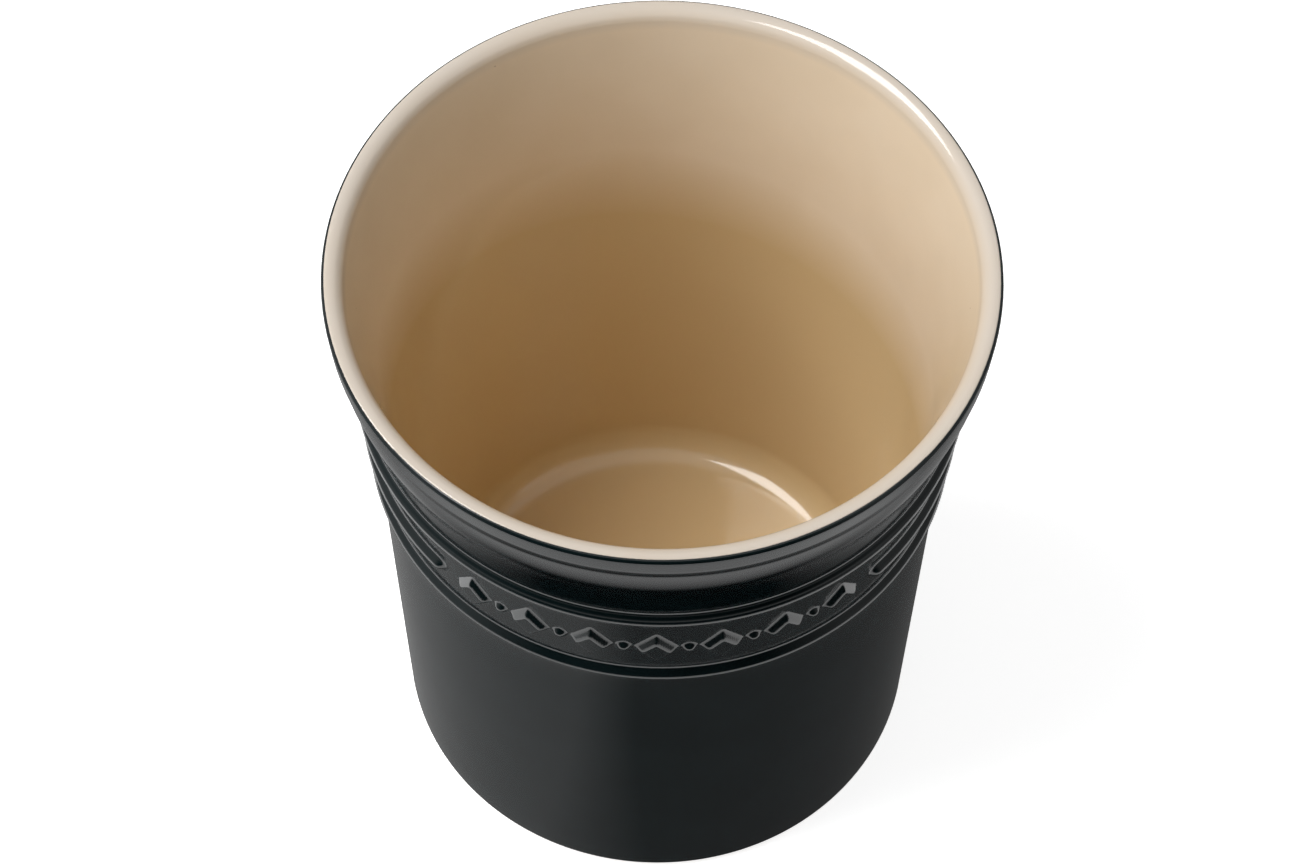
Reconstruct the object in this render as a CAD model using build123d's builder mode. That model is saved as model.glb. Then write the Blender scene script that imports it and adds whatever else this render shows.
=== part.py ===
from build123d import *
from math import atan2, cos, hypot, radians, sin, tan
import os

# A stoneware utensil crock, glazed black outside and cream inside.
# Millimetres, +Z up. The origin is on the crock's axis, at the height of the table.
# The relief panel faces -Y, and angles round the crock are counted from there towards +X.

# Overall sizes, over the glaze
crock_height = 178.0
mouth_diameter = 158.0

# How far each place lies nearer to the axis than the one above it
flare_reach = 7.0
band_reach = 2.7
wall_taper = 4.0

# Heights: the neck below the top of the lip, and the rings and the inner flare below the neck
lip_band_height = 6.5
neck_drop = 34.5
top_ring_drop = 3.7
middle_ring_drop = 18.75
lower_ring_drop = 33.0
inner_flare_drop = 15.5

# Wall and floor
lip_wall = 4.3
neck_wall = 4.9
foot_wall = 6.6
floor_height = 9.0
floor_corner_radius = 9.0

# Lip
lip_outer_round = 1.25
lip_inner_round = 3.3
lip_top_share = 0.8
lip_band_slope = 5.0
lip_band_step = 0.35

# Foot ring
base_corner_radius = 3.2
foot_ring_width = 5.2
foot_ring_round = 0.6
foot_recess_depth = 2.0
foot_recess_slope = 1.2

# Glaze coats
glaze_thickness = 0.35
glaze_meeting_rise = 65.0
bare_foot_height = 1.1

# Raised rings
ring_radius = 2.4
ring_proud = 1.8
ring_blend_radius = 1.6
ring_gap_half_angle = 47.0

# Relief on the panel between the ends of the middle ring
lozenge_count = 7
lozenge_pitch_angle = 12.5
lozenge_width = 10.8
lozenge_height = 14.0
lozenge_proud = 1.5
lozenge_corner_radius = 1.2
lozenge_side_slope = 32.0
lozenge_edge_round = 0.8
bead_radius = 1.7
bead_proud = 1.2

# Places worked out from the sizes. Each pair is (radius, height) on the glaze.
mouth_radius = mouth_diameter / 2
neck_z = crock_height - neck_drop
inner_flare_z = neck_z - inner_flare_drop
top_ring_z = neck_z - top_ring_drop
middle_ring_z = neck_z - middle_ring_drop
shoulder_z = neck_z - lower_ring_drop

neck = (mouth_radius - flare_reach, neck_z)
shoulder = (neck[0] - band_reach, shoulder_z)
base = (shoulder[0] - wall_taper, 0)
lip_lean = radians(lip_band_slope)
lip_outer = (mouth_radius + lip_outer_round * (tan(lip_lean) + 1 / cos(lip_lean) - 1), crock_height)
lip_band_foot = (lip_outer[0] - lip_band_height * tan(lip_lean), crock_height - lip_band_height)
cove_top = (lip_band_foot[0] - lip_band_step, lip_band_foot[1] - lip_band_step)
cove_middle = ((neck[0] + cove_top[0]) / 2, (neck[1] + cove_top[1]) / 2)
lip_inner = (mouth_radius - lip_wall, crock_height)


def radius_at(height, low, high):
    """The radius at a height on the straight line through two (radius, height) places."""
    share = (height - low[1]) / (high[1] - low[1])
    return low[0] + share * (high[0] - low[0])


inner_corner = (radius_at(floor_height, base, shoulder) - foot_wall, floor_height)
inner_neck = (neck[0] - neck_wall, neck_z)
inner_flare = (radius_at(inner_flare_z, inner_corner, inner_neck), inner_flare_z)
foot_outer = (base[0] - base_corner_radius, 0)
foot_inner = (foot_outer[0] - foot_ring_width, 0)
recess_corner = (foot_inner[0] - foot_recess_slope, foot_recess_depth)

# Where black and cream meet: on the lip's outer rounding, at a rise round its middle
lip_heart = (mouth_radius - lip_outer_round, crock_height - lip_outer_round)
meeting_rise = radians(glaze_meeting_rise)
past_meeting = (lip_heart[0] + mouth_radius * cos(meeting_rise), lip_heart[1] + mouth_radius * sin(meeting_rise))

# Lines down the middle of the wall and the floor, which part the three coats
floor_middle_z = (foot_recess_depth + floor_height) / 2
wall_middle = [
    (inner_corner[0] + foot_wall / 2, floor_middle_z),
    (neck[0] - neck_wall / 2, neck_z),
    lip_heart,
]
foot_middle_radius = (foot_inner[0] + foot_outer[0]) / 2


def corners_on_ring(sketch, centre, radius):
    """The two corners of a sketch where a ring's round section meets the wall."""
    return [v for v in sketch.vertices() if abs(hypot(v.X - centre[0], v.Y - centre[1]) - radius) < radius / 100]


def nearest_corner(sketch, place):
    """The corner of a sketch that lies nearest to a (radius, height) place."""
    return sketch.vertices().sort_by_distance(place)[0]


def ring_centre(height):
    """The middle of a raised ring's round section, as (radius, height)."""
    return (radius_at(height, shoulder, neck) + ring_proud - ring_radius, height)


# Section of the finished crock, clay and glaze together
with BuildSketch(Plane.XZ) as finished_section:
    with BuildLine():
        Polyline(base, foot_inner, recess_corner, (0, foot_recess_depth), (0, floor_height), inner_corner)
        inner_wall = Line(inner_corner, inner_flare)
        inner_arc = TangentArc(inner_flare, lip_inner, tangent=inner_wall % 1)
        Polyline(lip_inner, lip_outer, lip_band_foot, cove_top)
        Line(base, shoulder)
        band = Line(shoulder, neck)
        cove = TangentArc(neck, cove_middle, tangent=band % 1)
        TangentArc(cove_middle, cove_top, tangent=cove % 1)
    make_face()
    fillet(nearest_corner(finished_section, base), base_corner_radius)
    fillet(nearest_corner(finished_section, foot_inner), foot_ring_round)
    fillet(nearest_corner(finished_section, inner_corner), floor_corner_radius)
    lip_turn = radians((inner_arc % 1).get_angle(Vector(1, 0, 0)))
    widest_round = lip_top_share * (lip_wall - lip_outer_round) / tan(lip_turn / 2)
    fillet(nearest_corner(finished_section, lip_inner), min(lip_inner_round, widest_round))
    fillet(nearest_corner(finished_section, lip_outer), lip_outer_round)
    for height in (top_ring_z, shoulder_z):
        centre = ring_centre(height)
        with Locations(centre):
            Circle(ring_radius)
        fillet(corners_on_ring(finished_section, centre, ring_radius), ring_blend_radius)

# Section of the clay: the glaze's thickness less all round, but for the foot, which is bare
with BuildSketch(Plane.XZ) as clay_section:
    add(finished_section.sketch_local)
    mirror(about=Plane.YZ)
    offset(amount=-glaze_thickness, mode=Mode.REPLACE)
    with Locations((mouth_radius, crock_height / 2)):
        Rectangle(mouth_diameter, 2 * crock_height, mode=Mode.INTERSECT)

with BuildSketch(Plane.XZ) as bare_foot_section:
    add(finished_section.sketch_local)
    with Locations((mouth_radius, bare_foot_height / 2)):
        Rectangle(mouth_diameter, bare_foot_height, mode=Mode.INTERSECT)


def panel_relief(inset):
    """The middle ring and the front panel's relief, smaller all round by the inset, with their roots in the wall."""
    wall_radius = radius_at(middle_ring_z, shoulder, neck)
    lean = atan2(neck[0] - shoulder[0], neck_z - shoulder_z)
    facing = Plane(origin=(0, -wall_radius, middle_ring_z), x_dir=(1, 0, 0), z_dir=(0, -cos(lean), -sin(lean)))
    half_diagonal = hypot(lozenge_width, lozenge_height) / 2
    side_inset = inset / cos(radians(lozenge_side_slope))
    half_width = lozenge_width / 2 - side_inset * half_diagonal / (lozenge_height / 2)
    half_height = lozenge_height / 2 - side_inset * half_diagonal / (lozenge_width / 2)

    with BuildPart() as lozenge:
        with BuildSketch(facing) as outline:
            with BuildLine():
                Polyline((half_width, 0), (0, half_height), (-half_width, 0), (0, -half_height), close=True)
            make_face()
            fillet(outline.vertices(), lozenge_corner_radius)
        extrude(amount=lozenge_proud - inset, taper=lozenge_side_slope)
        fillet(lozenge.faces().sort_by(Axis.Y)[0].edges(), lozenge_edge_round - inset)
        extrude(outline.sketch, amount=-lozenge_proud)

    with BuildPart() as bead:
        with Locations((0, -(wall_radius + bead_proud - bead_radius), middle_ring_z)):
            Sphere(bead_radius - inset)

    centre = ring_centre(middle_ring_z)
    end_angle = radians(ring_gap_half_angle)
    end_out = (sin(end_angle), -cos(end_angle), 0)
    end_plane = Plane(origin=(0, 0, 0), x_dir=end_out, z_dir=(end_out[1], -end_out[0], 0))
    with BuildPart() as middle_ring:
        with BuildSketch(end_plane):
            with Locations(centre):
                Circle(ring_radius - inset)
        revolve(axis=Axis.Z, revolution_arc=360 - 2 * ring_gap_half_angle)
        with Locations(
            (centre[0] * end_out[0], centre[0] * end_out[1], middle_ring_z),
            (-centre[0] * end_out[0], centre[0] * end_out[1], middle_ring_z),
        ):
            Sphere(ring_radius - inset)

    row_angle = lozenge_pitch_angle * (lozenge_count - 1)
    gaps = lozenge_count - 1
    with BuildPart() as relief:
        with PolarLocations(0, lozenge_count, -row_angle / 2, row_angle, endpoint=True):
            add(lozenge.part)
        bead_row_angle = row_angle - lozenge_pitch_angle
        with PolarLocations(0, gaps, -bead_row_angle / 2, bead_row_angle, endpoint=True):
            add(bead.part)
        add(middle_ring.part)
    return relief.part


# The clay casting
with BuildPart() as stoneware_body:
    with BuildSketch(Plane.XZ):
        add(clay_section.sketch_local)
        add(bare_foot_section.sketch_local)
    revolve(axis=Axis.Z)
    add(panel_relief(glaze_thickness))
stoneware_body.part.label = "stoneware_body"


def finished_zone(corners):
    """The part of the finished section that lies inside a closed outline."""
    with BuildSketch(Plane.XZ) as zone:
        add(finished_section.sketch_local)
        with BuildSketch(Plane.XY, mode=Mode.PRIVATE) as limits:
            with BuildLine():
                Polyline(*corners, close=True)
            make_face()
        add(limits.sketch_local, mode=Mode.INTERSECT)
    return zone.sketch_local


# The black coat outside, from the bare foot up to where it meets the cream on the lip
with BuildPart() as outer_glaze:
    with BuildSketch(Plane.XZ):
        add(
            finished_zone(
                [
                    (foot_middle_radius, bare_foot_height),
                    *wall_middle,
                    past_meeting,
                    (past_meeting[0], bare_foot_height),
                ]
            )
        )
    revolve(axis=Axis.Z)
    add(panel_relief(0))
    add(stoneware_body.part, mode=Mode.SUBTRACT)
outer_glaze.part.label = "outer_glaze"

# The cream coat inside, over the floor, the wall and the top of the lip
with BuildPart() as inner_glaze:
    with BuildSketch(Plane.XZ):
        add(
            finished_zone(
                [
                    (0, floor_middle_z),
                    *wall_middle,
                    past_meeting,
                    (0, past_meeting[1]),
                ]
            )
        )
    revolve(axis=Axis.Z)
    add(stoneware_body.part, mode=Mode.SUBTRACT)
inner_glaze.part.label = "inner_glaze"

# The coat in the recess inside the foot ring
with BuildPart() as underside_glaze:
    with BuildSketch(Plane.XZ):
        add(
            finished_zone(
                [
                    (0, 0),
                    (0, floor_middle_z),
                    (foot_middle_radius, floor_middle_z),
                    (foot_middle_radius, 0),
                ]
            )
        )
    revolve(axis=Axis.Z)
    add(stoneware_body.part, mode=Mode.SUBTRACT)
underside_glaze.part.label = "underside_glaze"

os.makedirs("parts", exist_ok=True)
export_step(stoneware_body.part, "parts/stoneware_body.step")
export_step(outer_glaze.part, "parts/outer_glaze.step")
export_step(inner_glaze.part, "parts/inner_glaze.step")
export_step(underside_glaze.part, "parts/underside_glaze.step")
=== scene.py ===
# %% [markdown]
# # A stoneware utensil crock, glazed black outside and cream inside
# The crock is one fired casting of clay with three coats of glaze on it: black outside, cream inside
# and over the lip, and cream again in the recess under the foot. This lesson turns the whole shape
# once, as a potter's template would, and then parts the three coats from it, so that they meet without
# a gap.
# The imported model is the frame: it gives the sizes and the box that the looks have to stay in.

from math import acos, atan2, cos, hypot, pi, radians, sin, sqrt, tan

import bmesh
import bpy
from mathutils import Matrix, Vector


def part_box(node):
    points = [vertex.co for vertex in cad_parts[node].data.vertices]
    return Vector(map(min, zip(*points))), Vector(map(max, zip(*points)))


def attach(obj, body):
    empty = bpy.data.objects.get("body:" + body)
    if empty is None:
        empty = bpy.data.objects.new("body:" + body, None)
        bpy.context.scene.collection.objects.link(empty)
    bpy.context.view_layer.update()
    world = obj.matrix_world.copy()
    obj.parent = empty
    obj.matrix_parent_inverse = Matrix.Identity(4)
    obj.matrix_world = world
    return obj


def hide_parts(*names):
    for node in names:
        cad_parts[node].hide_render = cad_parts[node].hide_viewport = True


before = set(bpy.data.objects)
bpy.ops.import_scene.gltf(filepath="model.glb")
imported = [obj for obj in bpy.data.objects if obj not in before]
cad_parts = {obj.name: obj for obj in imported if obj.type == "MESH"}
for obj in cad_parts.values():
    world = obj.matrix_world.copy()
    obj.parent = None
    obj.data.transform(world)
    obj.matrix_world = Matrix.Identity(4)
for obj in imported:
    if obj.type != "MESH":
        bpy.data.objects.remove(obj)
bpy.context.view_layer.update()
print("pieces in the frame:", ", ".join(sorted(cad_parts)))

# %% [markdown]
# ## Sizes
# A turned pot is described by a few places on its section, each a radius and a height. The overall
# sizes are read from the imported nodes, so that the looks follow the construction if it ever changes.
# The others are the potter's own: how far the neck draws in, how thick the wall is, how the rings sit.

# %% Sizes read from the frame
mm = 0.001
black_low, black_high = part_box("outer_glaze")
cream_low, cream_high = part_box("inner_glaze")
_, base_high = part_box("underside_glaze")
glaze_thickness = 0.35 * mm
mouth_radius = black_high.x
crock_height = cream_high.z
floor_height = cream_low.z + glaze_thickness
bare_foot_height = black_low.z
recess_depth = base_high.z - glaze_thickness
print(f"mouth {mouth_radius * 2 / mm:.1f} mm wide, crock {crock_height / mm:.1f} mm high")

# %% Sizes of the wall, the lip and the foot
flare_reach = 7.0 * mm
band_reach = 2.7 * mm
wall_taper = 4.0 * mm
neck_z = crock_height - 34.5 * mm
top_ring_z = neck_z - 3.7 * mm
middle_ring_z = neck_z - 18.75 * mm
shoulder_z = neck_z - 33.0 * mm
inner_flare_z = neck_z - 15.5 * mm

lip_wall = 4.3 * mm
neck_wall = 4.9 * mm
foot_wall = 6.6 * mm
lip_outer_round = 1.25 * mm
lip_inner_round = 3.9 * mm
lip_band_height = 6.5 * mm
lip_band_lean = radians(5)
lip_band_step = 0.35 * mm
floor_corner_radius = 9.0 * mm
base_corner_radius = 3.2 * mm
foot_ring_width = 5.2 * mm
foot_ring_round = 0.6 * mm
foot_recess_slope = 1.2 * mm

ring_radius = 2.4 * mm
ring_proud = 1.8 * mm
ring_blend_radius = 1.6 * mm

# %% [markdown]
# ## The camera
# The photograph looks down into the mouth from the front, through a long lens. The camera's place and
# turns were found by fitting the ellipse of the rim and the outline of the wall. It comes first, so
# that every later step can be judged from the photograph's own viewpoint.

# %% The camera
camera_place = Vector((-0.0001, -0.5494, 0.9759))
camera_tilt = radians(32.28)
camera_yaw = 0.0033
camera_roll = 0.0128
focal_length = 115.6
sensor_width = 36

lens = bpy.data.cameras.new("photo_camera")
lens.lens = focal_length
lens.sensor_width = sensor_width
camera = bpy.data.objects.new("photo_camera", lens)
camera.matrix_world = (
    Matrix.Translation(camera_place)
    @ Matrix.Rotation(camera_yaw, 4, "Z")
    @ Matrix.Rotation(camera_tilt, 4, "X")
    @ Matrix.Rotation(camera_roll, 4, "Z")
)
bpy.context.scene.collection.objects.link(camera)
bpy.context.scene.camera = camera
print(f"camera {camera_place.length:.3f} m from the middle of the foot")

# %% [markdown]
# ## Drawing a section with a pen
# A turned shape is best made as a potter's template: one line in the XZ plane, spun round the axis. The
# line could be a list of points, but round stretches would need many of them. Here a pen draws it with
# mesh operators: a straight run extrudes the last vertex, and a bend spins it about a centre, so each
# fillet is a true arc and its fineness is one number.

# %% The pen
def last_vertex(wire):
    """The end of the line drawn so far."""
    wire.verts.ensure_lookup_table()
    return wire.verts[-1]


def pen_place(wire):
    """Where the pen is, as (radius, height)."""
    return last_vertex(wire).co.xz


def run(wire, place, steps=1):
    """Draws a straight stretch to a place, in even steps."""
    stride = (Vector(place) - pen_place(wire)) / steps
    for step in range(steps):
        made = bmesh.ops.extrude_vert_indiv(wire, verts=[last_vertex(wire)])
        bmesh.ops.translate(wire, verts=made["verts"], vec=(stride.x, 0, stride.y))


def bend(wire, centre, turn, steps):
    """Draws a round stretch about a centre. A turn to the left is positive."""
    middle = (centre[0], 0, centre[1])
    bmesh.ops.spin(wire, geom=[last_vertex(wire)], cent=middle, axis=(0, -1, 0), angle=turn, steps=steps)


def turn_between(before, after):
    """The turn to the left from one direction to another."""
    return atan2(before.x * after.y - before.y * after.x, before.dot(after))


# %% Rounded corners and long curves
def corner(wire, place, towards, radius, steps, approach_steps=1):
    """Runs up to a corner and rounds it, so that the pen then points towards the next place."""
    place = Vector(place)
    before = (place - pen_place(wire)).normalized()
    after = (Vector(towards) - place).normalized()
    turn = turn_between(before, after)
    start = place - before * radius * tan(abs(turn) / 2)
    side = radius if turn > 0 else -radius
    run(wire, start, approach_steps)
    bend(wire, start + Vector((-before.y, before.x)) * side, turn, steps)


def curve(wire, end, heading, at_end, steps):
    """Draws one arc to a place. The heading is known either at its end or at its start."""
    start, end = pen_place(wire), Vector(end)
    known, other = (end, start) if at_end else (start, end)
    left = Vector((-heading.y, heading.x))
    reach = other - known
    centre = known + left * (reach.length_squared / (2 * reach.dot(left)))
    bend(wire, centre, turn_between(start - centre, end - centre), steps)


print("the pen has four strokes: run, bend, corner and curve")

# %% [markdown]
# ## Raised rings
# Each ring on the real wall is a bead of clay with a round section, sunk into the wall and softened at
# its foot by the glaze that gathers there. It could be a torus joined to the wall, but a join leaves
# a ragged seam. Drawn in the section as three arcs that touch, it flows into the wall by itself.

# %% A ring's three arcs
def ring(wire, on_wall, up_below, up_above, steps_below):
    """Draws a ring over a place on the wall, where the wall's direction may change."""
    heart = Vector(on_wall) + Vector((ring_proud - ring_radius, 0))
    touch = ring_radius + ring_blend_radius
    blends = []
    for up, way in ((up_below, -1), (up_above, 1)):
        out = Vector((up.y, -up.x))
        depth = (heart - Vector(on_wall)).dot(out)
        reach = sqrt(touch**2 - (ring_blend_radius - depth) ** 2)
        foot = heart - out * depth + up * reach * way
        blends.append((foot, foot + out * ring_blend_radius, acos((ring_blend_radius - depth) / touch)))
    (foot, low_centre, low_turn), (_, high_centre, high_turn) = blends
    run(wire, foot, steps_below)
    bend(wire, low_centre, -low_turn, steps=5)
    bend(wire, heart, turn_between(low_centre - heart, high_centre - heart), steps=12)
    bend(wire, high_centre, -high_turn, steps=5)


# %% [markdown]
# ## The places on the section
# The places follow from the sizes: the neck lies inside the mouth, the shoulder inside the neck, the
# foot inside the shoulder. The inside of the wall is its own pair of lines, because a cast wall is
# thicker at the foot than at the lip.

# %% Places as (radius, height)
neck = Vector((mouth_radius - flare_reach, neck_z))
shoulder = Vector((neck.x - band_reach, shoulder_z))
base = Vector((shoulder.x - wall_taper, 0))
lip_corner_reach = lip_outer_round * (tan(lip_band_lean) + 1 / cos(lip_band_lean) - 1)
lip_outer = Vector((mouth_radius + lip_corner_reach, crock_height))
lip_heart = Vector((mouth_radius - lip_outer_round, crock_height - lip_outer_round))
lip_band_foot = lip_outer - Vector((tan(lip_band_lean), 1)) * lip_band_height
cove_top = lip_band_foot - Vector((lip_band_step, lip_band_step))
cove_middle = (neck + cove_top) / 2
lip_inner = Vector((mouth_radius - lip_wall, crock_height))
foot_outer = Vector((base.x - base_corner_radius, 0))
foot_inner = Vector((foot_outer.x - foot_ring_width, 0))
recess_corner = Vector((foot_inner.x - foot_recess_slope, recess_depth))


def on_line(height, low, high):
    """The place at a height on the line through two places."""
    return low + (high - low) * ((height - low.y) / (high.y - low.y))


inner_corner = on_line(floor_height, base, shoulder) - Vector((foot_wall, 0))
inner_neck = neck - Vector((neck_wall, 0))
inner_flare = on_line(inner_flare_z, inner_corner, inner_neck)
top_ring_place = on_line(top_ring_z, shoulder, neck)
middle_ring_place = on_line(middle_ring_z, shoulder, neck)
wall_up = (shoulder - base).normalized()
band_up = (neck - shoulder).normalized()
band_out = Vector((band_up.y, -band_up.x))
inner_down = (inner_corner - inner_flare).normalized()
print(f"wall {(neck.x - inner_neck.x) / mm:.1f} mm thick at the neck, {foot_wall / mm:.1f} mm at the foot")

# %% [markdown]
# ## The whole section
# The pen starts on the axis under the foot, goes out over the recess, round the foot ring, up the
# outside, over the lip, down the inside and back to the axis on the floor. One closed run means that
# the clay is solid and that inside and outside can't drift apart. The stretch between the upper and
# lower rings gets many short steps, because the relief will need vertices there to push on. Above the
# neck, two arcs make a cove that leans out and comes upright again under the band of the lip.

# %% The outside of the section, up to the neck
panel_steps = 46

section = bmesh.new()
section.verts.new((0, 0, recess_depth))
corner(section, recess_corner, foot_inner, foot_ring_round, steps=4, approach_steps=8)
corner(section, foot_inner, foot_outer, foot_ring_round, steps=5)
corner(section, base, shoulder, base_corner_radius, steps=13)
ring(section, shoulder, wall_up, band_up, steps_below=12)
ring(section, top_ring_place, band_up, band_up, steps_below=panel_steps)
run(section, neck)
print(f"outside drawn to {pen_place(section).y / mm:.1f} mm up")

# %% The cove and the lip
cove_steps = 7
cove_lean = 2 * atan2(*(cove_middle - neck)) - atan2(*band_up)
curve(section, cove_middle, band_up, at_end=False, steps=cove_steps)
curve(section, cove_top, Vector((sin(cove_lean), cos(cove_lean))), at_end=False, steps=cove_steps)
run(section, lip_band_foot)
corner(section, lip_outer, lip_inner, lip_outer_round, steps=17, approach_steps=3)

inner_lean = 2 * atan2(*(lip_inner - inner_flare)) - atan2(*(-inner_down))
lip_inner_way = Vector((sin(inner_lean), cos(inner_lean)))
corner(section, lip_inner, lip_inner - lip_inner_way, lip_inner_round, steps=16)
print(f"cove leans out {cove_lean:.2f} rad in its middle, the lip is {lip_wall / mm:.1f} mm thick")

# %% The inside of the section
point_reach = 0.001 * mm
curve(section, inner_flare, inner_down, at_end=True, steps=14)
corner(section, inner_corner, (0, floor_height), floor_corner_radius, steps=16, approach_steps=24)
run(section, (0, floor_height), steps=12)
bmesh.ops.remove_doubles(section, verts=section.verts[:], dist=point_reach)
print(f"section drawn with {len(section.verts)} vertices")

# %% [markdown]
# ## Spinning the section
# A spin with even steps would waste vertices at the back or starve the relief at the front. So the
# section is first turned to the left end of the panel, spun finely across the front and then more
# coarsely round the back. Merging doubles closes the seam and both poles, and only then are the normals
# made to point outwards.

# %% The spun crock
fine_arc = radians(100)
fine_steps = 224
coarse_steps = 110
seam_reach = 0.005 * mm
first_turn = -pi / 2 - fine_arc / 2

crock = section.copy()
section.free()
axis = (0, 0, 1)
bmesh.ops.rotate(crock, verts=crock.verts[:], cent=(0, 0, 0), matrix=Matrix.Rotation(first_turn, 3, "Z"))
ends = {"geom_last": crock.verts[:] + crock.edges[:]}
for arc, steps in ((fine_arc, fine_steps), (2 * pi - fine_arc, coarse_steps)):
    ends = bmesh.ops.spin(crock, geom=ends["geom_last"], cent=(0, 0, 0), axis=axis, angle=arc, steps=steps)
bmesh.ops.remove_doubles(crock, verts=crock.verts[:], dist=seam_reach)
bmesh.ops.recalc_face_normals(crock, faces=crock.faces[:])
crock.normal_update()
print(f"crock spun: {len(crock.faces)} faces, {sum(e.is_boundary for e in crock.edges)} open edges")

# %% [markdown]
# ## The relief on the panel
# The middle ring stops on both sides of the front panel, and between its round ends stands a plain row
# of lozenges with a bead between each two. Cutting such shapes into the wall with booleans would leave
# sharp seams that fired glaze never has. Instead the relief is a height above the wall, worked out for
# each vertex, and the vertices are pushed out along the wall's own direction.

# %% Sizes of the relief
ring_end_angle = radians(47)
lozenge_count = 7
lozenge_pitch = radians(12.5)
lozenge_half_width = 5.4 * mm
lozenge_half_height = 7.0 * mm
lozenge_proud = 1.5 * mm
lozenge_side = 1.7 * mm
bead_radius = 1.7 * mm
bead_proud = 1.2 * mm
bead_blend = 0.5 * mm


def smooth_step(share):
    """A soft rise from 0 to 1."""
    share = min(max(share, 0), 1)
    return share * share * (3 - 2 * share)


# %% The height of the relief
def dome(distance, radius, proud, blend):
    """The height of a round bead at a distance from its middle, with a blend at its foot."""
    depth = proud - radius
    touch = radius + blend
    reach = sqrt(touch**2 - (blend - depth) ** 2)
    if distance >= reach:
        return 0
    if distance < reach * radius / touch:
        return depth + sqrt(radius**2 - distance**2)
    return blend - sqrt(max(blend**2 - (reach - distance) ** 2, 0))


def lozenge(across, rise):
    """The height of a lozenge, by how far inside its four sides a place lies."""
    inside = 1 - abs(across) / lozenge_half_width - abs(rise) / lozenge_half_height
    side = hypot(lozenge_half_width, lozenge_half_height)
    depth = inside * lozenge_half_width * lozenge_half_height / side
    return lozenge_proud * smooth_step(depth / lozenge_side)


def relief(angle, rise):
    """The height over the wall at an angle from the front and a rise above the middle ring."""
    wall_radius = middle_ring_place.x
    past_end = max(ring_end_angle - abs(angle), 0) * wall_radius
    height = dome(hypot(past_end, rise), ring_radius, ring_proud, ring_blend_radius)
    half_row = (lozenge_count - 1) / 2
    for place in range(lozenge_count):
        across = (angle - (place - half_row) * lozenge_pitch) * wall_radius
        height = max(height, lozenge(across, rise))
        if place < lozenge_count - 1:
            across -= lozenge_pitch * wall_radius / 2
            height = max(height, dome(hypot(across, rise), bead_radius, bead_proud, bead_blend))
    return height


# %% Pushing the relief out of the wall
panel_share = 0.8
panel_reach = (middle_ring_z - shoulder_z) * panel_share
pushed = 0
for vertex in crock.verts:
    radius = hypot(vertex.co.x, vertex.co.y)
    rise = (vertex.co.z - middle_ring_z) / band_up.y
    if radius < neck.x - neck_wall / 2 - band_reach or abs(rise) > panel_reach:
        continue
    angle = atan2(vertex.co.x, -vertex.co.y)
    height = relief(angle, rise)
    if height > 0:
        away = Vector((vertex.co.x / radius * band_out.x, vertex.co.y / radius * band_out.x, band_out.y))
        vertex.co += away * height
        pushed += 1
crock.normal_update()
print(f"relief: {pushed} vertices pushed out, {lozenge_count} lozenges")

# %% [markdown]
# ## Parting the pieces
# On the real crock each coat is a skin of glaze about a third of a millimetre thick. A coat could be
# the same surface with another colour, but then it would have no body of its own. Here each coat is
# the part of the turned surface that it covers, thickened inwards, and its edges are rounded, as melted
# glaze draws back to a round edge where it ends.

# %% Helpers that make a coat
rim_angle = radians(60)


def keep_faces(shape, wanted):
    """A copy of a shape with only the faces that a test on (radius, height) wants."""
    part = shape.copy()
    extra = []
    for face in part.faces:
        centre = face.calc_center_median()
        if not wanted(hypot(centre.x, centre.y), centre.z):
            extra.append(face)
    bmesh.ops.delete(part, geom=extra, context="FACES")
    return part


def thicken(skin, thickness, edge_round):
    """Gives a skin its thickness inwards and rounds its rims."""
    bmesh.ops.solidify(skin, geom=skin.faces[:], thickness=thickness)
    bmesh.ops.recalc_face_normals(skin, faces=skin.faces[:])
    rims = [e for e in skin.edges if len(e.link_faces) == 2 and e.calc_face_angle(0) > rim_angle]
    bmesh.ops.bevel(
        skin,
        geom=rims,
        offset=edge_round,
        offset_type="OFFSET",
        segments=2,
        profile=0.5,
        affect="EDGES",
        material=-1,
    )
    return skin


# %% Helpers that make an object
def new_object(name, shape):
    """Turns a shape into an object in the scene."""
    mesh = bpy.data.meshes.new(name)
    shape.to_mesh(mesh)
    shape.free()
    thing = bpy.data.objects.new(name, mesh)
    bpy.context.scene.collection.objects.link(thing)
    return thing


def finish_piece(shape, name, node):
    """Turns a shape into a smooth object that rides with the crock and stands for its node."""
    open_edges = sum(e.is_boundary for e in shape.edges)
    triangles = sum(len(f.verts) - 2 for f in shape.faces)
    piece = new_object(name, shape)
    piece.data.shade_smooth()
    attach(piece, "root")
    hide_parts(node)
    print(f"{name}: {triangles} triangles, {open_edges} open edges")
    return piece


# %% [markdown]
# ## The black coat
# The black coat runs from just above the bare foot, over the rings and the relief, up to the rounding
# of the lip, where it meets the cream. Planes could cut it off below and above, but none would part the
# outside from the inside. So its faces are picked by their height and by the side of the wall's middle
# that they lie on. That middle follows the flare by a power of the height over the neck.

# %% Where the black coat lies
lip_middle_radius = mouth_radius - lip_wall / 2
flare_power = 1.6
glaze_meeting_rise = radians(65)


def is_outside(radius, height):
    """Whether a place lies outwards of the middle of the wall, which flares above the neck."""
    if height < neck_z:
        return radius > on_line(height, base, neck).x - foot_wall / 2
    rise_share = (height - neck_z) / (crock_height - neck_z)
    neck_middle = neck.x - neck_wall / 2
    return radius > neck_middle + (lip_middle_radius - neck_middle) * rise_share**flare_power


def under_black(radius, height):
    """Whether a place lies on the outside, between the bare foot and the meeting of the coats."""
    below_meeting = height - lip_heart.y < (radius - lip_heart.x) * tan(glaze_meeting_rise)
    return height > bare_foot_height and below_meeting and is_outside(radius, height)


# %% The black coat
glaze_edge_round = 0.12 * mm


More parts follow.
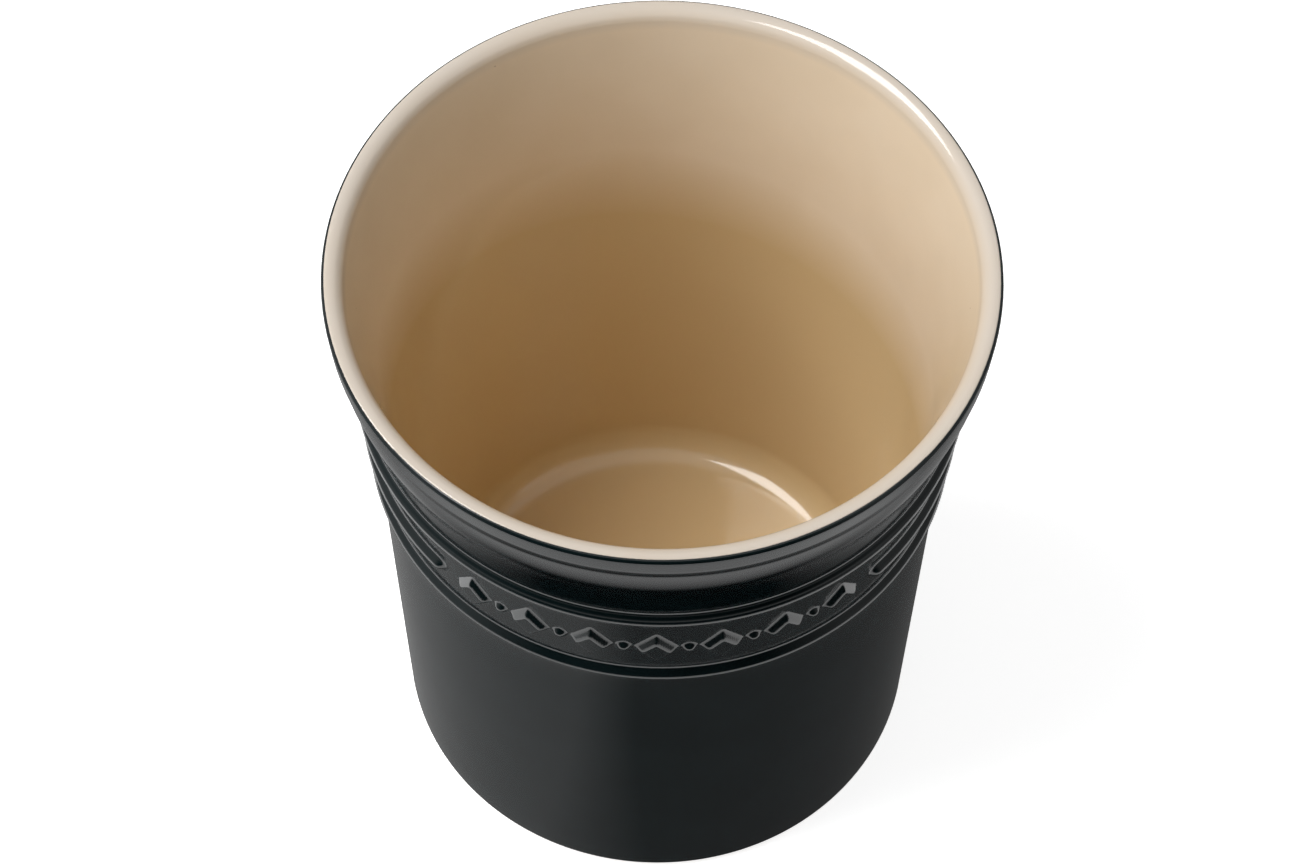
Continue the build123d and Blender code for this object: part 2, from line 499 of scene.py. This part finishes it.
def coat(wanted, name, node):
    """The glaze over the faces that a test wants, as a finished piece."""
    skin = thicken(keep_faces(crock, wanted), glaze_thickness, glaze_edge_round)
    return finish_piece(skin, name, node)


black_coat = coat(under_black, "black_coat", "outer_glaze")

# %% [markdown]
# ## The cream coat
# The cream coat lines the floor and the inside, and goes over the top of the lip to meet the black. With
# a test of its own it could overlap the black there, or leave a gap. So it takes every face above the
# middle of the floor that the black leaves.

# %% The cream coat
floor_middle = (recess_depth + floor_height) / 2


def under_cream(radius, height):
    """Whether a place lies on the floor, the inside or the top of the lip."""
    return height > floor_middle and not under_black(radius, height)


cream_coat = coat(under_cream, "cream_coat", "inner_glaze")

# %% [markdown]
# ## The coat under the foot
# The recess inside the foot ring is glazed too, so that only the ring itself is bare: a crock that stood
# on glaze would have stuck to the kiln shelf. A plain disc could stand for this coat, but its edge
# wouldn't follow the slope of the recess. Picked from the turned surface, as the others are, it does.

# %% The coat under the foot
def under_base(radius, height):
    """Whether a place lies in the recess inside the foot ring."""
    return bare_foot_height < height < floor_middle and radius < foot_inner.x


base_coat = coat(under_base, "base_coat", "underside_glaze")

# %% [markdown]
# ## The clay under the glaze
# The clay is the same turned shape, less the coat's thickness wherever it is glazed. The bare foot keeps
# its full size, because nothing covers it. A boolean could take the coats away, but along skins this
# thin it may leave slivers, so each glazed vertex is moved back along its normal instead.

# %% The clay body
crock.normal_update()
for vertex in crock.verts:
    if vertex.co.z > bare_foot_height:
        vertex.co -= vertex.normal * glaze_thickness
clay_body = finish_piece(crock, "clay_body", "stoneware_body")

# %% [markdown]
# ## Materials
# Every finish here is a Principled shader with procedural textures on Object coordinates, so a pattern
# keeps its real size in metres and stays put on the pot. A small helper places nodes and sets their
# sockets, which keeps each recipe short enough to read.

# %% Helpers for materials
def new_finish(name, **sockets):
    """A material with a Principled shader whose even values are set on its own sockets."""
    material = bpy.data.materials.new(name)
    material.use_nodes = True
    shader = material.node_tree.nodes["Principled BSDF"]
    for socket, value in sockets.items():
        shader.inputs[socket.replace("_", " ")].default_value = value
    return material, shader


def add(material, kind, **sockets):
    """A new node in a material, with some of its sockets set."""
    node = material.node_tree.nodes.new("ShaderNode" + kind)
    for socket, value in sockets.items():
        node.inputs[socket.replace("_", " ")].default_value = value
    return node


def join(material, source, target):
    """A link from an output to an input."""
    material.node_tree.links.new(source, target)


# %% Helpers for patterns
def noise(material, feature, detail=2, stretch=(1, 1, 1)):
    """Noise on Object coordinates whose features are about the given size in metres."""
    place = add(material, "TexCoord")
    mapping = add(material, "Mapping", Scale=stretch)
    texture = add(material, "TexNoise", Scale=1 / feature, Detail=detail)
    join(material, place.outputs["Object"], mapping.inputs["Vector"])
    join(material, mapping.outputs["Vector"], texture.inputs["Vector"])
    return texture.outputs["Fac"]


def spread(material, source, low, high, to_low, to_high):
    """Maps a share of a texture onto a range of values."""
    node = add(material, "MapRange", From_Min=low, From_Max=high, To_Min=to_low, To_Max=to_high)
    join(material, source, node.inputs["Value"])
    return node.outputs["Result"]


def blend_colours(material, share, first, second):
    """A colour between two, by a share. Each may be a colour or another node's output."""
    node = add(material, "Mix")
    node.data_type = "RGBA"
    join(material, share, node.inputs["Factor"])
    # Its colour sockets share their names with others, so they are reached by number.
    for socket, colour in ((node.inputs[6], first), (node.inputs[7], second)):
        if isinstance(colour, tuple):
            socket.default_value = (*colour, 1)
        else:
            join(material, colour, socket)
    return node.outputs[2]


def bumps(material, shader, layers):
    """Stacks bumps, each a texture and its height in metres, onto a shader."""
    under = None
    for source, height in layers:
        node = add(material, "Bump", Strength=1.0, Distance=height)
        join(material, source, node.inputs["Height"])
        if under is not None:
            join(material, under, node.inputs["Normal"])
        under = node.outputs["Normal"]
    join(material, under, shader.inputs["Normal"])


def pinholes(material, spacing, size):
    """1 at rare tiny holes in the glaze and 0 between them."""
    place = add(material, "TexCoord")
    cells = add(material, "TexVoronoi", Scale=1 / spacing)
    join(material, place.outputs["Object"], cells.inputs["Vector"])
    return spread(material, cells.outputs["Distance"], size / spacing * 0.6, size / spacing, 1, 0)


# %% [markdown]
# ## Black glaze
# The photograph shows a deep black with a faint green-grey cast and soft-edged reflections, which waver
# slightly because melted glaze never lies quite even. The waver is a very low, wide bump. A finer one
# would break the reflections up into grain, so the softness is left to the roughness, which varies a
# little, as if wiped.

# %% Black glaze
black, shader = new_finish("black_glaze", IOR=1.5)
deep_black = (0.0025, 0.007, 0.0078)
pale_black = (0.004, 0.0095, 0.0105)
pinhole_grey = (0.03, 0.03, 0.028)
cloud = spread(black, noise(black, 18 * mm, detail=3), 0.35, 0.65, 0, 1)
tint = blend_colours(black, cloud, deep_black, pale_black)
specks = pinholes(black, spacing=9 * mm, size=0.16 * mm)
join(black, blend_colours(black, specks, tint, pinhole_grey), shader.inputs["Base Color"])
wiped = noise(black, 30 * mm, detail=4)
join(black, spread(black, wiped, 0.3, 0.7, 0.11, 0.16), shader.inputs["Roughness"])
waver = noise(black, 26 * mm, detail=1, stretch=(1, 1, 1.6))
bumps(black, shader, [(waver, 0.05 * mm)])
black_coat.data.materials.append(black)

# %% [markdown]
# ## Cream glaze
# The inside is a warm sand cream, poured deep and then dipped once more at the rim, which makes it paler
# from the lip down to a soft line. Below that line the colour is much deeper and darker: painted shade for
# the depth of the crock, and the line falls from left to right, away from the light on the left. The lip
# itself is greyer: a painted tone for the sheen on the lit lip. Its colour clouds a little, and it has a
# few pinholes. One gloss could give sharp highlights or a veil, but not both, so its sheen has two
# layers: a sharp one for the highlights, and over it a hazy coat that veils the lit side in white.

# %% Cream glaze
# Above this line the second dip pales the glaze. The deeper colour below it is painted shade for the
# depth, and the line falls to the right, away from the light.
dip_and_shade_line_z = 120 * mm
dip_and_shade_line_slant = 0.15
dip_and_shade_line_softness = 13 * mm
lip_fade = 2.5 * mm
haze_share = 0.4
haze_roughness = 0.45
cloud_cream = (0.58, 0.42, 0.23)
pinhole_brown = (0.32, 0.20, 0.11)


def above_line(material, middle, softness, slant):
    """0 below a soft line round the crock and 1 above it. The slant is its fall from left to right."""
    place = add(material, "TexCoord")
    height = add(material, "VectorMath")
    height.operation = "DOT_PRODUCT"
    height.inputs[1].default_value = (slant, 0, 1)
    join(material, place.outputs["Object"], height.inputs[0])
    return spread(material, height.outputs["Value"], middle - softness, middle + softness, 0, 1)


# %% Cream finishes
def cream_finish(name, roughness, deep, pale):
    """A warm cream glaze with faint clouds, pinholes and a soft skin, paler where it was dipped twice,
    with painted shade below that line and a painted sheen tone on the lip.
    """
    cream, shader = new_finish(name, IOR=1.5, Coat_Weight=haze_share, Coat_Roughness=haze_roughness)
    # 1 above the line, where the glaze was dipped twice. The deeper colour below it is painted shade.
    dip_above_painted_shade = above_line(cream, dip_and_shade_line_z, dip_and_shade_line_softness, dip_and_shade_line_slant)
    on_lip = above_line(cream, crock_height - lip_fade, lip_fade, 0)
    tint = blend_colours(cream, dip_above_painted_shade, deep, pale)
    # The greyer tone on the lip is painted sheen.
    tint = blend_colours(cream, on_lip, tint, lip_sheen_cream)
    cloudy = spread(cream, noise(cream, 22 * mm, detail=3), 0.3, 0.7, 0, 0.12)
    tint = blend_colours(cream, cloudy, tint, cloud_cream)
    specks = pinholes(cream, spacing=14 * mm, size=0.2 * mm)
    join(cream, blend_colours(cream, specks, tint, pinhole_brown), shader.inputs["Base Color"])
    ripple = noise(cream, 35 * mm, detail=3)
    join(cream, spread(cream, ripple, 0.3, 0.7, roughness, roughness * 1.5), shader.inputs["Roughness"])
    waver = noise(cream, 24 * mm, detail=1)
    fine_skin = noise(cream, 1.8 * mm)
    bumps(cream, shader, [(waver, 0.03 * mm), (fine_skin, 0.001 * mm)])
    return cream


# The deep cream is painted shade for the depth of the crock.
shaded_deep_cream = (0.64, 0.48, 0.265)
pale_cream = (0.84, 0.705, 0.535)
# The lip cream is a greyer tone that paints the sheen on the lit lip.
lip_sheen_cream = (0.60, 0.53, 0.455)
inside_glaze = cream_finish("cream_glaze", roughness=0.07, deep=shaded_deep_cream, pale=pale_cream)
recess_glaze = cream_finish("base_glaze", roughness=0.16, deep=pale_cream, pale=pale_cream)
cream_coat.data.materials.append(inside_glaze)
base_coat.data.materials.append(recess_glaze)

# %% [markdown]
# ## Bare stoneware
# Only the foot ring shows the fired clay: pale, matt, with a fine sandy grain and a little grey where it
# has stood on shelves. The grain is far finer than the mesh, so it can't be modelled. One noise drives
# colour, roughness and bump together, so that each grain has all three.

# %% Bare stoneware
clay, shader = new_finish("bare_stoneware", IOR=1.45)
sandy_clay = (0.70, 0.61, 0.50)
pale_clay = (0.79, 0.71, 0.60)
shelf_grey = (0.42, 0.38, 0.33)
grain = noise(clay, 0.5 * mm, detail=4)
smudge = noise(clay, 9 * mm, detail=4)
unevenness = noise(clay, 2.5 * mm, detail=3)
body_colour = blend_colours(clay, spread(clay, grain, 0.35, 0.65, 0, 1), sandy_clay, pale_clay)
body_colour = blend_colours(clay, spread(clay, smudge, 0.52, 0.75, 0, 0.5), body_colour, shelf_grey)
join(clay, body_colour, shader.inputs["Base Color"])
join(clay, spread(clay, grain, 0.3, 0.7, 0.75, 0.95), shader.inputs["Roughness"])
bumps(clay, shader, [(grain, 0.06 * mm), (unevenness, 0.05 * mm)])
clay_body.data.materials.append(clay)
print("finishes:", ", ".join(sorted(m.name for m in bpy.data.materials if m.users)))

# %% [markdown]
# ## The floor
# The crock stands on a plain white sweep. The floor is white by its own colour, and a small lift that
# only the camera and mirror-like rays see takes it the rest of the way, so the object gets no extra
# light from it, and its shadow stays.

# %% The floor
floor_reach = 4.0
floor_lift = 0.8
plane = bmesh.new()
bmesh.ops.create_grid(plane, x_segments=8, y_segments=8, size=floor_reach)
floor = new_object("floor", plane)


def seen_directly(tree):
    """1 for rays from the camera, mirrors and glass, and 0 for the light that surfaces share."""
    path = tree.nodes.new("ShaderNodeLightPath")
    total = path.outputs["Is Camera Ray"]
    for other in ("Is Glossy Ray", "Is Transmission Ray"):
        either = tree.nodes.new("ShaderNodeMath")
        either.operation = "MAXIMUM"
        tree.links.new(total, either.inputs[0])
        tree.links.new(path.outputs[other], either.inputs[1])
        total = either.outputs["Value"]
    return total


# %% White paper
paper, shader = new_finish("white_paper", Roughness=0.9, Specular_IOR_Level=0.1)
dull_white = (0.90, 0.90, 0.90)
clear_white = (0.93, 0.93, 0.925)
fibres = spread(paper, noise(paper, 3 * mm, detail=4), 0.3, 0.7, 0, 1)
join(paper, blend_colours(paper, fibres, dull_white, clear_white), shader.inputs["Base Color"])
shader.inputs["Emission Color"].default_value = (1, 1, 1, 1)
lift = add(paper, "Math")
lift.operation = "MULTIPLY"
lift.inputs[1].default_value = floor_lift
join(paper, seen_directly(paper.node_tree), lift.inputs[0])
join(paper, lift.outputs["Value"], shader.inputs["Emission Strength"])
floor.data.materials.append(paper)
print(f"floor {floor_reach * 2:.0f} m wide, white by its colour and a lift of {floor_lift}")

# %% [markdown]
# ## Painted reflections for the black glaze
# Glossy black ware shows nothing but its surroundings. Here glowing cards, which are no lamps, paint its
# reflections. A dim glowing card round the foot paints the reflection of a floor lit on the left and in
# shadow on the right, which keeps the wall dark. Past its edge the white floor lights the band of the lip.
# A halo, a flat glowing ring round the neck, paints the cove's soft fade in front, from bright under the
# lip to black above the top ring, lighter on the left. A curtain further out paints the dark lines on the
# rings, dark in front and lighter on the left. Only mirror-like rays see the cards: they cast no shadow,
# and the camera sees the plain white sweep.

# %% Helpers for the cards
def glossy_only(name, shape, finish):
    """A stage piece that only reflections see, glowing with a light of its own to paint a reflection."""
    card = new_object(name, shape)
    card.visible_camera = False
    card.visible_diffuse = False
    card.visible_transmission = False
    card.visible_shadow = False
    card.data.materials.append(finish)


def card_edge(radius):
    """A circle round the axis on the floor, as a new shape."""
    shape = bmesh.new()
    bmesh.ops.create_circle(shape, segments=96, radius=radius)
    return shape


def extruded(shape):
    """Extrudes a shape's edges in place and gives the new vertices, ready to be moved."""
    made = bmesh.ops.extrude_edge_only(shape, edges=shape.edges[:])
    return [v for v in made["geom"] if isinstance(v, bmesh.types.BMVert)]


def flat_ring(name, inner, outer, height, finish):
    """A flat ring of card round the crock."""
    shape = card_edge(inner)
    bmesh.ops.scale(shape, verts=extruded(shape), vec=(outer / inner, outer / inner, 1))
    bmesh.ops.translate(shape, verts=shape.verts[:], vec=(0, 0, height))
    glossy_only(name, shape, finish)


# %% Glows
side_share = 0.55
front_share = 0.85


def glow(name):
    """A material that only gives off grey light, for a painted reflection, and the emission that sets its
    level.
    """
    material = bpy.data.materials.new(name)
    material.use_nodes = True
    tree = material.node_tree
    tree.nodes.remove(tree.nodes["Principled BSDF"])
    emission = add(material, "Emission")
    join(material, emission.outputs["Emission"], tree.nodes["Material Output"].inputs["Surface"])
    return material, emission


def shaded_glow(name, reach, fade_from, fade_to, front, left, right):
    """A glow for a painted reflection that goes from left to right by its sides. In front it rises from 0
    away from the axis.
    """
    material, emission = glow(name)
    place = add(material, "TexCoord")
    parts = add(material, "SeparateXYZ")
    join(material, place.outputs["Object"], parts.inputs["Vector"])
    flat = add(material, "Mapping", Scale=(1, 1, 0))
    join(material, place.outputs["Object"], flat.inputs["Vector"])
    away = add(material, "VectorMath")
    away.operation = "LENGTH"
    join(material, flat.outputs["Vector"], away.inputs[0])
    in_front = spread(material, away.outputs["Value"], fade_from, fade_to, 0, front)
    at_sides = spread(material, parts.outputs["X"], -reach, reach, left, right)
    level = add(material, "MapRange", From_Min=-front_share * reach, From_Max=-side_share * reach)
    join(material, parts.outputs["Y"], level.inputs["Value"])
    join(material, in_front, level.inputs["To Min"])
    join(material, at_sides, level.inputs["To Max"])
    join(material, level.outputs["Result"], emission.inputs["Strength"])
    return material


# %% The card round the foot
foot_card_radius = 145 * mm
foot_card_height = 0.3 * mm
foot_card_turn = radians(-15)
foot_card_blend = 16 * mm
# Painted reflection of the floor: the lit level on the left and the shaded level on the right.
foot_card_lit_glow = 0.28
foot_card_shaded_glow = 0.09
# This glow paints the reflection of a floor lit on the left and in shadow on the right.
dim, emission = glow("painted_foot_reflection")
place = add(dim, "TexCoord")
side = add(dim, "VectorMath")
side.operation = "DOT_PRODUCT"
side.inputs[1].default_value = (cos(foot_card_turn), sin(foot_card_turn), 0)
join(dim, place.outputs["Object"], side.inputs[0])
across = side.outputs["Value"]
level = spread(dim, across, -foot_card_blend, foot_card_blend, foot_card_lit_glow, foot_card_shaded_glow)
join(dim, level, emission.inputs["Strength"])
flat_ring("foot_card", foot_outer.x, foot_card_radius, foot_card_height, dim)
print(f"foot card {foot_card_radius * 2 / mm:.0f} mm wide")

# %% The halo round the neck
halo_inner = 72.5 * mm
halo_outer = 108 * mm
halo_height = 143 * mm
# The halo's glow paints the cove's reflection: a fade in front, lighter on the left, where the light comes
# from.
halo_glow = shaded_glow(
    "painted_halo_reflection",
    reach=80 * mm,
    fade_from=75.5 * mm,
    fade_to=86 * mm,
    front=0.8,
    left=0.36,
    right=0.27,
)
flat_ring("halo", halo_inner, halo_outer, halo_height, halo_glow)
print(f"halo {halo_outer * 2 / mm:.0f} mm wide, {halo_height / mm:.0f} mm up")

# %% The curtain
curtain_radius = 0.30
curtain_height = 0.36
curtain = card_edge(curtain_radius)
bmesh.ops.translate(curtain, verts=extruded(curtain), vec=(0, 0, curtain_height))
# The curtain's glow paints the dark lines on the rings: nearly black in front, lighter on the left, where
# the light comes from.
curtain_glow = shaded_glow(
    "painted_curtain_reflection",
    reach=curtain_radius,
    fade_from=0,
    fade_to=curtain_radius,
    front=0.01,
    left=0.5,
    right=0.3,
)
glossy_only("curtain", curtain, curtain_glow)
print(f"curtain {curtain_radius * 2:.1f} m wide and {curtain_height:.2f} m high")

# %% [markdown]
# ## Light
# The photograph was lit by one large soft source high on the left: the right of the inside is the
# brightest, even down on the floor, and the left lies in its own shade. The world fills the depth. The
# source is an area lamp, because a soft edge on a highlight needs a lamp with a size.

# %% The lamp
aim_share = 0.6


def soft_lamp(name, azimuth, elevation, distance, size, power):
    """An area lamp that faces the crock. Azimuth 0 is the camera's side, and 90 the right."""
    lamp = bpy.data.lights.new(name, "AREA")
    lamp.shape = "SQUARE"
    lamp.size = size
    lamp.energy = power
    turned, raised = radians(azimuth), radians(elevation)
    aim = Vector((0, 0, crock_height * aim_share))
    away = Vector((sin(turned) * cos(raised), -cos(turned) * cos(raised), sin(raised)))
    holder = bpy.data.objects.new(name, lamp)
    holder.location = aim + away * distance
    holder.rotation_euler = away.to_track_quat("Z", "Y").to_euler()
    bpy.context.scene.collection.objects.link(holder)
    return holder


soft_lamp("key_softbox", azimuth=-85, elevation=60, distance=1.3, size=0.75, power=17.5)

# %% The world
world = bpy.data.worlds.new("studio")
bpy.context.scene.world = world
world.use_nodes = True
tree = world.node_tree
background = tree.nodes["Background"]
background.inputs["Color"].default_value = (1, 1, 1, 1)
level = tree.nodes.new("ShaderNodeMapRange")
fill_light = 0.235
level.inputs["To Min"].default_value = fill_light
level.inputs["To Max"].default_value = 1.0
tree.links.new(seen_directly(tree), level.inputs["Value"])
tree.links.new(level.outputs["Result"], background.inputs["Strength"])
bpy.context.scene.view_settings.view_transform = "Standard"
print(f"the world fills with {fill_light} and is white where it is seen")
